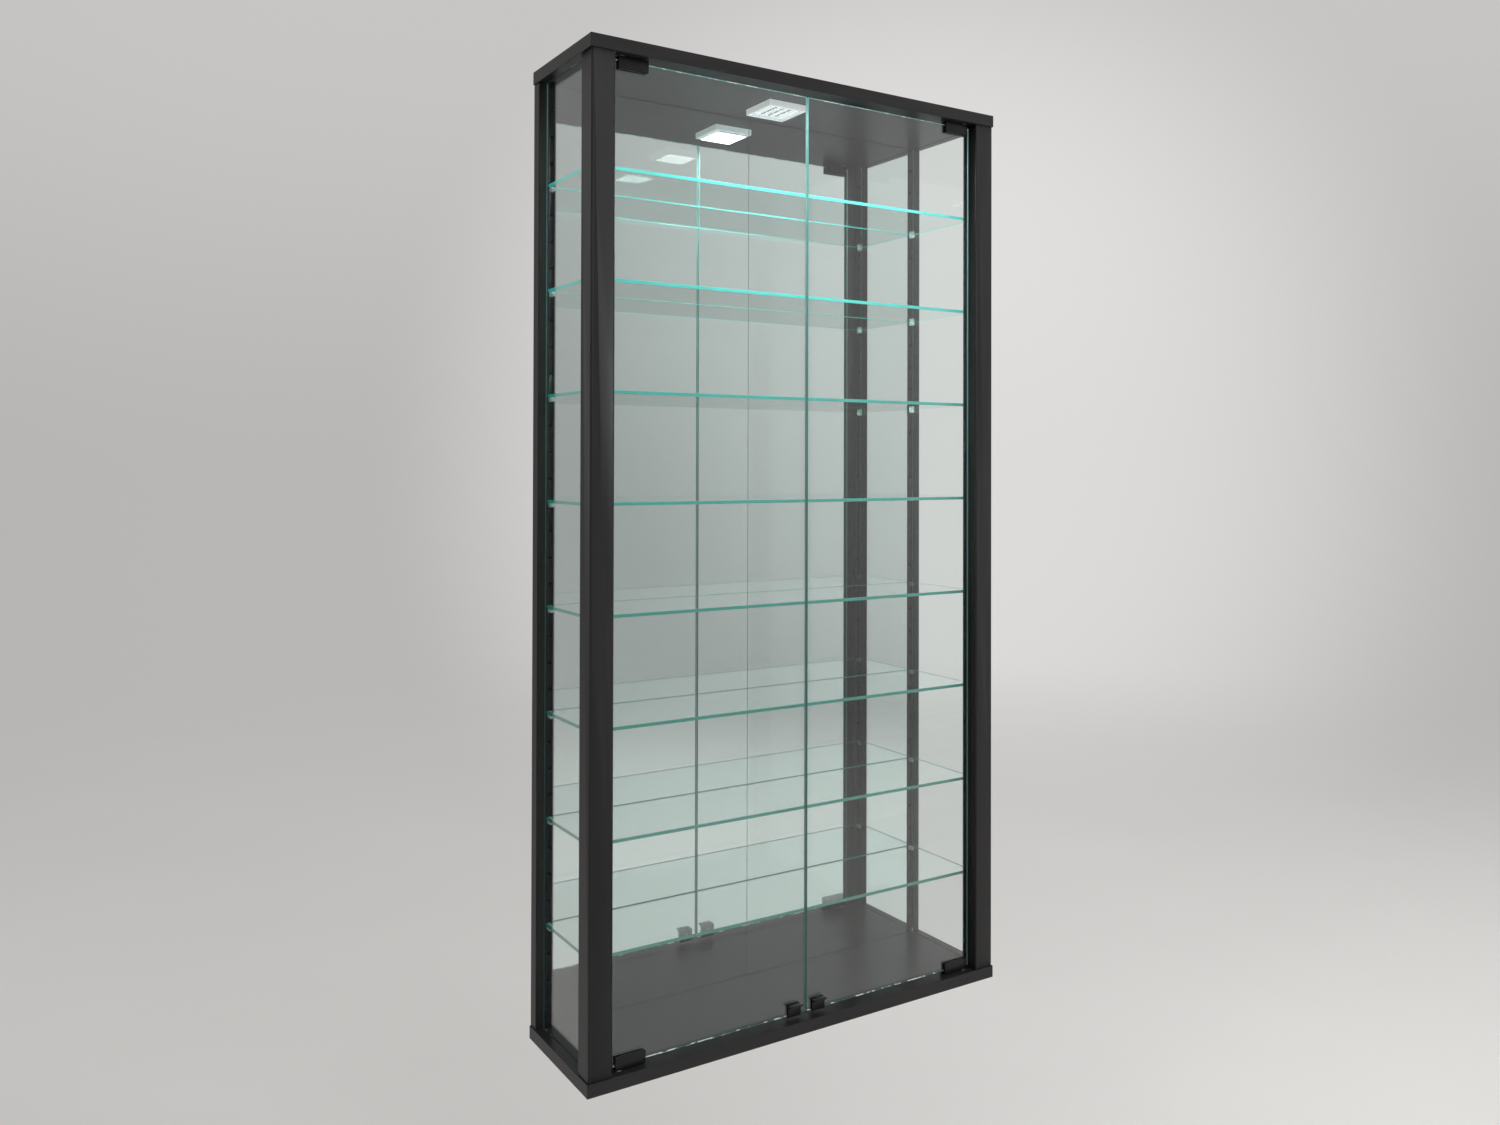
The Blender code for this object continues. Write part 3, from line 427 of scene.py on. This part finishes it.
def extruded(name, outline, axis, low, high):
    """Extrude a flat outline along X or Y between two distances."""
    def point(flat, along):
        return (along, flat.x, flat.y) if axis == "X" else (flat.x, along, flat.y)

    shape = bmesh.new()
    first = shape.faces.new([shape.verts.new(point(flat, low)) for flat in outline])
    grown = bmesh.ops.extrude_face_region(shape, geom=[first])
    moved = [part for part in grown["geom"] if isinstance(part, bmesh.types.BMVert)]
    step = Vector((high - low, 0, 0)) if axis == "X" else Vector((0, high - low, 0))
    bmesh.ops.translate(shape, verts=moved, vec=step)
    bmesh.ops.recalc_face_normals(shape, faces=shape.faces)
    mesh = bpy.data.meshes.new(name)
    shape.to_mesh(mesh)
    shape.free()
    return new_object(name, mesh)


# ---- repeated pieces ----------------------------------------------------------------------
def tree_with_inputs(name, sizes):
    """A Geometry Nodes tree with a mesh input, and one named number input for every size."""
    tree = bpy.data.node_groups.new(name, "GeometryNodeTree")
    tree.interface.new_socket("Places", in_out="INPUT", socket_type="NodeSocketGeometry")
    inputs = {label: tree.interface.new_socket(label, in_out="INPUT", socket_type="NodeSocketFloat")
              for label in sizes}
    tree.interface.new_socket("Geometry", in_out="OUTPUT", socket_type="NodeSocketGeometry")
    return Nodes(tree), inputs


def run_tree(item, nodes, inputs, sizes):
    modifier = item.modifiers.new("repeat", "NODES")
    modifier.node_group = nodes.tree
    for label, value in sizes.items():
        modifier[inputs[label].identifier] = value
    return plain(item)


def places_mesh(name, places):
    """Loose points; each place is a position and a turn in X, Y and Z."""
    mesh = bpy.data.meshes.new(name)
    mesh.from_pydata([place for place, turn in places], [], [])
    turns = mesh.attributes.new("turn", "FLOAT_VECTOR", "POINT")
    for point, (place, turn) in zip(turns.data, places):
        point.vector = turn
    return new_object(name, mesh)


def copies(nodes, places, shape):
    """Put a shape at each place, turned as the place says, and make the copies real."""
    turn = nodes.add("GeometryNodeInputNamedAttribute", {"Name": "turn"}, data_type="FLOAT_VECTOR")
    spin = nodes.add("FunctionNodeEulerToRotation", {"Euler": turn["Attribute"]})["Rotation"]
    values = {"Points": places, "Instance": shape, "Rotation": spin}
    put = nodes.add("GeometryNodeInstanceOnPoints", values)["Instances"]
    return nodes.add("GeometryNodeRealizeInstances", {"Geometry": put})["Geometry"]


def repeated(name, places, sizes, shape, finish):
    nodes, inputs = tree_with_inputs(name, sizes)
    given = nodes.add("NodeGroupInput")
    solid = shape(nodes, {label: given[label] for label in sizes})
    real = copies(nodes, given["Places"], solid)
    done = nodes.add("GeometryNodeSetMaterial", {"Geometry": real, "Material": finish})["Geometry"]
    nodes.add("NodeGroupOutput", {"Geometry": done})
    return run_tree(places_mesh(name, places), nodes, inputs, sizes)


def moved(nodes, geometry, x=0.0, y=0.0, z=0.0):
    """Shift geometry; each distance is a number or a wire."""
    shift = nodes.add("ShaderNodeCombineXYZ", {"X": x, "Y": y, "Z": z})["Vector"]
    values = {"Geometry": geometry, "Translation": shift}
    return nodes.add("GeometryNodeTransform", values)["Geometry"]


def tapered(nodes, sides, low_radius, high_radius, length, z):
    """A closed cone or cylinder from z upwards."""
    values = {"Vertices": sides, "Radius Bottom": low_radius, "Radius Top": high_radius, "Depth": length}
    return moved(nodes, nodes.add("GeometryNodeMeshCone", values)["Mesh"], z=z)


def combine(nodes, operation, first, *others):
    made = nodes.add("GeometryNodeMeshBoolean", operation=operation, solver="EXACT")
    target = made.node.inputs["Mesh 1" if operation == "DIFFERENCE" else "Mesh 2"]
    nodes.tree.links.new(first.socket, target)
    for other in others:
        nodes.tree.links.new(other.socket, made.node.inputs["Mesh 2"])
    return made["Mesh"]


def screw_shape(nodes, size):
    """A countersunk screw, head up at Z = 0, with a cross recess."""
    cone = size["Head Radius"] - size["Shank Radius"]
    length = size["Length"]
    tip = size["Shank Radius"] * 1.6
    lap = size["Shank Radius"] * 0.2
    head = tapered(nodes, 24, size["Shank Radius"], size["Head Radius"], cone, cone * -1.0)
    shank = tapered(nodes, 16, size["Shank Radius"] * 0.9, size["Shank Radius"] * 0.9,
                    length - tip - cone + lap, tip - length)
    point = tapered(nodes, 16, size["Shank Radius"] * 0.06, size["Shank Radius"] * 0.88, tip + lap,
                    length * -1.0)
    body = combine(nodes, "UNION", head, shank, point)
    long_arm = size["Head Radius"] * 1.25
    arm = size["Head Radius"] * 0.26
    for first, second in ((long_arm, arm), (arm, long_arm)):
        across = nodes.add("ShaderNodeCombineXYZ", {"X": first, "Y": second, "Z": cone * 1.3})["Vector"]
        body = combine(nodes, "DIFFERENCE", body, nodes.add("GeometryNodeMeshCube", {"Size": across})["Mesh"])
    return body


def pin_shape(nodes, size):
    """A clear shelf pin along Z: shank below Z = 0, collar, then the bearer that takes the glass."""
    radius = size["Radius"]
    shank = tapered(nodes, 16, radius * 0.72, radius * 0.80, size["Shank"] + size["Collar"] * 0.5,
                    size["Shank"] * -1.0)
    collar = tapered(nodes, 20, radius, radius, size["Collar"], 0.0)
    bearer = tapered(nodes, 20, radius * 0.93, radius * 0.93, size["Reach"] * 0.75,
                     size["Collar"] * 0.5)
    nose = tapered(nodes, 20, radius * 0.91, radius * 0.62, size["Reach"] * 0.25,
                   size["Reach"] * 0.75)
    return combine(nodes, "UNION", collar, shank, bearer, nose)


# ---- places read from the frame -----------------------------------------------------------
SHELVES = [f"shelf_{index}" for index in range(1, 9)]
POST_FRONT = box_of("front_post_left")
POST_REAR = box_of("rear_post_left")
PANE_BOX = box_of("side_glass_left")
SHELF_THICKNESS = 0.004
PIN_RADIUS = 0.003
PIN_BITE = 0.0007
PIN_REACH = 0.007
PIN_X = 0.2801
PIN_SIZES = {"Radius": PIN_RADIUS, "Reach": PIN_REACH, "Shank": 0.007, "Collar": 0.0012}
SEAT_GAP = 0.0003
FITTING_GAP = SEAT_GAP * 0.8
SHELF_END_GAP = 0.0005
SHELF_HALF_WIDTH = abs(PANE_BOX[1].x) - SHELF_END_GAP
SHELF_REAR_Y = POST_REAR[0].y - SHELF_END_GAP
SHELF_FRONT_Y = POST_FRONT[1].y + SHELF_END_GAP


def shelf_top(node):
    return box_of(node)[1].z


def pin_height(node):
    return shelf_top(node) - SHELF_THICKNESS - PIN_RADIUS + PIN_BITE


# ---- frame --------------------------------------------------------------------------------
HOLE_PITCH = 0.032
HOLE_ROWS = 35
ROWS_BELOW_FIRST_SHELF = 3
HOLE_SIZES = {"Hole Radius": 0.0025, "Hole Depth": 0.005}


def drilled_post(node, side, face_y, into):
    """A post with its whole row of shelf-pin holes, cut by one set of repeated drills."""
    source = bpy.data.objects[node]
    shape = bmesh.new()
    shape.from_mesh(source.data)
    bmesh.ops.remove_doubles(shape, verts=shape.verts, dist=1e-6)
    mesh = bpy.data.meshes.new(f"{node}_drilled")
    shape.to_mesh(mesh)
    shape.free()
    post = new_object(f"{node}_drilled", mesh)
    used = {round(pin_height(shelf), 4) for shelf in SHELVES}
    start = min(used) - ROWS_BELOW_FIRST_SHELF * HOLE_PITCH
    rows = [start + HOLE_PITCH * row for row in range(HOLE_ROWS)]
    turn = (math.pi / 2 * into * -1.0, 0.0, 0.0)
    places = [((side * PIN_X, face_y, z), turn) for z in rows if round(z, 4) not in used]
    nodes, inputs = tree_with_inputs(f"{node}_drills", HOLE_SIZES)
    given = nodes.add("NodeGroupInput")
    depth = given["Hole Depth"]
    drill = tapered(nodes, 16, given["Hole Radius"], given["Hole Radius"], depth * 1.1, depth * -0.1)
    nodes.add("NodeGroupOutput", {"Geometry": copies(nodes, given["Places"], drill)})
    drills = run_tree(places_mesh(f"{node}_drill_set", places), nodes, inputs, HOLE_SIZES)
    made = plain(cut_away(post, drills))
    bpy.data.objects.remove(drills)
    smooth(made, 30)
    return dress(made, "cabinet", "anthracite_foil", node, finish=FOIL_UPRIGHT)


def refinish(node, finish):
    """Give a CAD node's own solid a better material."""
    item = bpy.data.objects[node]
    if item.material_slots:
        for slot in item.material_slots:
            slot.link = "OBJECT"
            slot.material = finish
    else:
        item.data.materials.append(finish)
    return item


def make_frame():
    for end_name, end in ENDS:
        refinish(f"{end_name}_board", FOIL_LENGTHWAYS)
    for side_name, side in SIDES:
        drilled_post(f"front_post_{side_name}", side, POST_FRONT[1].y, -1)
        drilled_post(f"rear_post_{side_name}", side, POST_REAR[0].y, 1)
        refinish(f"hanger_plate_{side_name}", ZINC)
        refinish(f"mirror_{side_name}", MIRROR)
    refinish("back_board", FIBRE)
    refinish("cable_grommet", RUBBER)


# ---- glass --------------------------------------------------------------------------------
def glass_sheet(name, low, high, thin_axis, face, edge, arris=0.0006):
    """A pane with rounded ground edges; its two big faces and its edges differ in finish."""
    sheet = block(name, low, high)
    soften(sheet, arris, 2)
    made = plain(sheet)
    made.data.materials.clear()
    made.data.materials.append(face)
    made.data.materials.append(edge)
    for polygon in made.data.polygons:
        polygon.material_index = 0 if abs(polygon.normal[thin_axis]) > 0.999 else 1
    return made


def make_glass():
    for node in SHELVES:
        top = shelf_top(node)
        sheet = glass_sheet(f"{node}_sheet", (-SHELF_HALF_WIDTH, SHELF_FRONT_Y, top - SHELF_THICKNESS),
                            (SHELF_HALF_WIDTH, SHELF_REAR_Y, top), 2, SHELF_PANE, SHELF_EDGE)
        dress(sheet, "cabinet", "shelf_glass", node)
    for side_name, side in SIDES:
        for node, thin_axis, body in ((f"side_glass_{side_name}", 0, "cabinet"),
                                      (f"door_glass_{side_name}", 1, f"door_{side_name}")):
            sheet = glass_sheet(f"{node}_sheet", *box_of(node), thin_axis, PANE, PANE_EDGE)
            dress(sheet, body, "clear_glass", node)
    make_pins()


def make_pins():
    places = []
    for node in SHELVES:
        for side_name, side in SIDES:
            for face_y, out in ((POST_FRONT[1].y, 1), (POST_REAR[0].y, -1)):
                turn = (math.pi / 2 * out * -1.0, 0.0, 0.0)
                places.append(((side * PIN_X, face_y + out * SEAT_GAP, pin_height(node)), turn))
    pins = repeated("shelf_pins", places, PIN_SIZES, pin_shape, PIN_CLEAR)
    smooth(pins, 40)
    dress(pins, "cabinet", "lamp_cover_clear")


# ---- hinges and pulls ---------------------------------------------------------------------
CLAMP_CORNER = 0.0008
CLAMP_FREE_CORNER = 0.0013
CLAMP_EDGE = 0.0007
CUT_PAST = 0.002
PULL_PLATE = 0.0012
PULL_LIP = 0.0015
PULL_EDGE = 0.00035


def make_clamp(tag, side, end, body):
    """A hinge clamp: a square block over the glass corner, with its slot."""
    node = f"hinge_clamp_{tag}"
    low, high = box_of(node)
    inner_x, outer_x = (low.x, high.x) if side > 0 else (high.x, low.x)
    board_z, free_z = (high.z, low.z) if end > 0 else (low.z, high.z)
    outline = rounded([(outer_x, board_z, CLAMP_CORNER), (outer_x, free_z, CLAMP_CORNER),
                       (inner_x, free_z, CLAMP_FREE_CORNER), (inner_x, board_z, CLAMP_CORNER)], 4)
    clamp = extruded(f"{node}_cover", outline, "Y", low.y, high.y)
    soften(clamp, CLAMP_EDGE, 3)
    glass_low, glass_high = box_of(f"door_glass_{tag.split('_')[0]}")
    edge_z = glass_high.z if end > 0 else glass_low.z
    slot_z = sorted((edge_z + end * FITTING_GAP, free_z - end * CUT_PAST))
    slot = block(f"{node}_slot", (low.x - CUT_PAST, glass_low.y - FITTING_GAP, slot_z[0]),
                 (high.x + CUT_PAST, glass_high.y + FITTING_GAP, slot_z[1]))
    cut_away(clamp, slot)
    made = plain(clamp)
    bpy.data.objects.remove(slot)
    smooth(made, 32)
    dress(made, body, "black_coated_metal", node, finish=BLACK_COAT)


def make_pull(side_name, body):
    """A finger pull: a clip round the door's lower edge with a lip on its face."""
    node = f"door_pull_{side_name}"
    low, high = box_of(node)
    glass_low, glass_high = box_of(f"door_glass_{side_name}")
    front_y = glass_low.y - SEAT_GAP - PULL_PLATE
    inner_y, outer_y = glass_high.y + FITTING_GAP, glass_low.y - FITTING_GAP
    floor_z = glass_low.z - FITTING_GAP
    outline = rounded([
        (high.y, low.z, 0.0008), (high.y, high.z, 0.0006), (inner_y, high.z, 0.0003),
        (inner_y, floor_z, 0.0), (outer_y, floor_z, 0.0),
        (outer_y, high.z, 0.0003), (low.y, high.z, 0.0005), (low.y, high.z - PULL_LIP, 0.0005),
        (front_y, high.z - PULL_LIP - 0.0004, 0.0032), (front_y, low.z, 0.0008)], 5)
    pull = extruded(f"{node}_clip", outline, "X", low.x, high.x)
    soften(pull, PULL_EDGE, 2)
    made = plain(pull)
    smooth(made, 32)
    dress(made, body, "black_coated_metal", node, finish=PULL_COAT)


def make_doors():
    for side_name, side in SIDES:
        body = f"door_{side_name}"
        for end_name, end in ENDS:
            tag = f"{side_name}_{end_name}"
            make_clamp(tag, side, end, body)
            refinish(f"hinge_pin_{tag}", ZINC)
            refinish(f"clamp_screw_{tag}", ZINC)
            refinish(f"hinge_bush_{tag}", NYLON)
        make_pull(side_name, body)
        refinish(f"pull_screw_{side_name}", ZINC)


# ---- screws -------------------------------------------------------------------------------
FRAME_SCREW = {"Head Radius": 0.0045, "Shank Radius": 0.0025, "Length": 0.042}
HANGER_SCREW = {"Head Radius": 0.0032, "Shank Radius": 0.0019, "Length": 0.012}
FRAME_SCREW_TURN = 0.4


def make_screws():
    frame_places, frame_nodes = [], []
    for end_name, end in ENDS:
        for side_name, side in SIDES:
            for place in ("front", "rear"):
                node = f"frame_screw_{end_name}_{side_name}_{place}"
                low, high = box_of(node)
                middle = (low + high) / 2
                z = high.z if end > 0 else low.z
                turn = (0.0 if end > 0 else math.pi, 0.0, FRAME_SCREW_TURN)
                frame_places.append(((middle.x, middle.y, z), turn))
                frame_nodes.append(node)
    screws = repeated("frame_screws", frame_places, FRAME_SCREW, screw_shape, ZINC)
    smooth(screws, 30)
    dress(screws, "cabinet", "zinc_steel", *frame_nodes)
    places, nodes = [], []
    for side_name, side in SIDES:
        for index in (1, 2):
            node = f"hanger_screw_{side_name}_{index}"
            low, high = box_of(node)
            middle = (low + high) / 2
            places.append(((middle.x, high.y, middle.z), (-math.pi / 2, 0.0, 0.0)))
            nodes.append(node)
    screws = repeated("hanger_screws", places, HANGER_SCREW, screw_shape, ZINC)
    smooth(screws, 30)
    dress(screws, "cabinet", "zinc_steel", *nodes)


# ---- lamp ---------------------------------------------------------------------------------
CHIP_HEIGHT = 0.0006
CHIP_SIZES = {"Width": 0.0034, "Length": 0.0052, "Height": CHIP_HEIGHT}
MARK_SIZES = {"Width": 0.0019, "Length": 0.0105, "Height": CHIP_HEIGHT}
CHIPS_ACROSS = 7


def chip_shape(nodes, size):
    across = nodes.add("ShaderNodeCombineXYZ", {"X": size["Width"], "Y": size["Length"],
                                                "Z": size["Height"]})["Vector"]
    return nodes.add("GeometryNodeMeshCube", {"Size": across})["Mesh"]


def make_lamp():
    refinish("lamp_housing", LAMP_RIM)
    refinish("lamp_board", LAMP_WHITE)
    refinish("lamp_cover", LAMP_COVER)
    low, high = box_of("lamp_board")
    middle = (low + high) / 2
    z = low.z - CHIP_HEIGHT / 2 - 0.0002
    step = (high.x - low.x) / CHIPS_ACROSS
    grid = [(column, row) for column in range(-3, 4) for row in range(-3, 4)]
    places = [((middle.x + column * step, middle.y + row * step, z), (0.0, 0.0, 0.0))
              for column, row in grid]
    chips = repeated("lamp_chips", places, CHIP_SIZES, chip_shape, CHIP)
    dress(chips, "cabinet", "lamp_board_white")
    places = [((middle.x + column * step * 1.5, middle.y + row * step * 1.9, z - CHIP_HEIGHT),
               (0.0, 0.0, 0.0)) for column in (-1, 0, 1) for row in (-1, 0, 1)]
    marks = repeated("lamp_row_marks", places, MARK_SIZES, chip_shape, LAMP_MARK)
    dress(marks, "cabinet", "lamp_board_white")


# ---- stage, light and camera --------------------------------------------------------------
FLOOR_Z = -1.05
FLOOR_FADE = (1.2, 6.0)
BEHIND = (0.643, 0.766, 0.0)
WINDOW_WAY = (0.784, -0.588, 0.196)
CAMERA_PLACE = (-0.8611, -1.3885, 0.1108)
CAMERA_LENS = 28.99
CAMERA_SHIFT = -0.0729
CAMERA_TILT, CAMERA_TURN, CAMERA_ROLL = (math.radians(angle) for angle in (90.487, -32.213, 0.142))


def make_stage():
    made = Finish("studio_floor")
    cloud = made.noise(made.place, 1.2, 3.0)
    grey = cloud.colours((0.3, (0.84, 0.83, 0.82)), (0.7, (0.87, 0.86, 0.85)))
    across, deep, _ = made.axes()
    away = (across * across + deep * deep) ** 0.5
    finish = made.done(made.principled(Base_Color=grey, Roughness=0.8,
                                       Alpha=away.ramp(*FLOOR_FADE, 1.0, 0.0)))
    bpy.ops.mesh.primitive_plane_add(size=80.0, location=(0.0, 0.0, FLOOR_Z))
    floor = bpy.context.active_object
    floor.name = "studio_floor"
    floor.data.materials.append(finish)


def make_world():
    world = bpy.data.worlds.new("studio")
    bpy.context.scene.world = world
    world.use_nodes = True
    nodes = Nodes(world.node_tree)
    direction = nodes.add("ShaderNodeTexCoord")["Generated"]
    split = nodes.add("ShaderNodeSeparateXYZ", {"Vector": direction})
    level = split["Z"].ramp(-0.02, 0.34, 0.48, 0.57) + split["X"].ramp(-1.0, 0.2, -0.12, 0.0)
    behind = nodes.add("ShaderNodeVectorMath", {0: direction, 1: BEHIND},
                       operation="DOT_PRODUCT")["Value"]
    window = nodes.add("ShaderNodeVectorMath", {0: direction, 1: WINDOW_WAY},
                       operation="DOT_PRODUCT")["Value"]
    bright = level + behind.ramp(0.90, 1.0, 0.0, 0.24) + window.ramp(0.84, 1.0, 0.0, 0.34)
    sky = nodes.add("ShaderNodeBackground", {"Color": (1.0, 0.985, 0.97, 1.0), "Strength": bright})
    nodes.add("ShaderNodeOutputWorld", {"Surface": sky["Background"]})


def area_light(name, place, aim, size, power, colour=(1.0, 1.0, 1.0)):
    data = bpy.data.lights.new(name, "AREA")
    data.shape = "RECTANGLE"
    data.size, data.size_y = size
    data.energy = power
    data.color = colour
    light = bpy.data.objects.new(name, data)
    bpy.context.scene.collection.objects.link(light)
    light.location = place
    turn = (Vector(aim) - Vector(place)).to_track_quat("-Z", "Y")
    light.rotation_euler = turn.to_euler()
    light.visible_transmission = False
    return light


def soft_edged(light):
    """Let a light fade out towards its edges, so that its reflection has no outline."""
    light.data.use_nodes = True
    nodes = Nodes(light.data.node_tree)
    place = nodes.add("ShaderNodeNewGeometry")["Parametric"]
    values = {0: place, 1: (0.5, 0.5, 0.0)}
    out = nodes.add("ShaderNodeVectorMath", values, operation="DISTANCE")["Value"]
    shine = nodes.add("ShaderNodeEmission", {"Strength": out.ramp(0.34, 0.5, 1.9, 0.0)})["Emission"]
    nodes.add("ShaderNodeOutputLight", {"Surface": shine})


def make_lights():
    window = area_light("window_light", (2.90, -2.35, 1.25), (0.2, 0.0, 0.4), (1.3, 2.0), 42.0,
                        (1.0, 0.985, 0.96))
    soft_edged(window)
    window.visible_glossy = False
    room = area_light("room_light", (0.1, -3.6, 1.5), (0.0, 0.0, 0.0), (2.4, 2.0), 26.0, (0.97, 0.98, 1.0))
    room.visible_glossy = False
    area_light("ceiling_light", (0.4, -0.7, 2.4), (0.0, 0.0, 0.0), (2.0, 1.4), 9.0)
    low, high = box_of("lamp_cover")
    middle = (low + high) / 2
    area_light("cabinet_lamp_light", (middle.x, middle.y, low.z - 0.002), (middle.x, middle.y, -1.0),
               (0.045, 0.045), 1.1, (0.93, 1.0, 1.0))


def make_camera():
    data = bpy.data.cameras.new("camera")
    data.sensor_width = 36.0
    data.lens = CAMERA_LENS
    data.shift_y = CAMERA_SHIFT
    data.clip_start, data.clip_end = 0.01, 200.0
    camera = bpy.data.objects.new("camera", data)
    bpy.context.scene.collection.objects.link(camera)
    camera.location = CAMERA_PLACE
    level = Euler((CAMERA_TILT, 0.0, CAMERA_TURN), "XYZ").to_matrix()
    roll = Matrix.Rotation(CAMERA_ROLL, 3, "Z")
    camera.rotation_euler = (level @ roll).to_euler()
    bpy.context.scene.camera = camera


def build():
    scene = bpy.context.scene
    scene.view_settings.view_transform = "Standard"
    make_camera()
    make_stage()
    make_world()
    make_lights()
    make_frame()
    make_glass()
    make_doors()
    make_screws()
    make_lamp()


build()
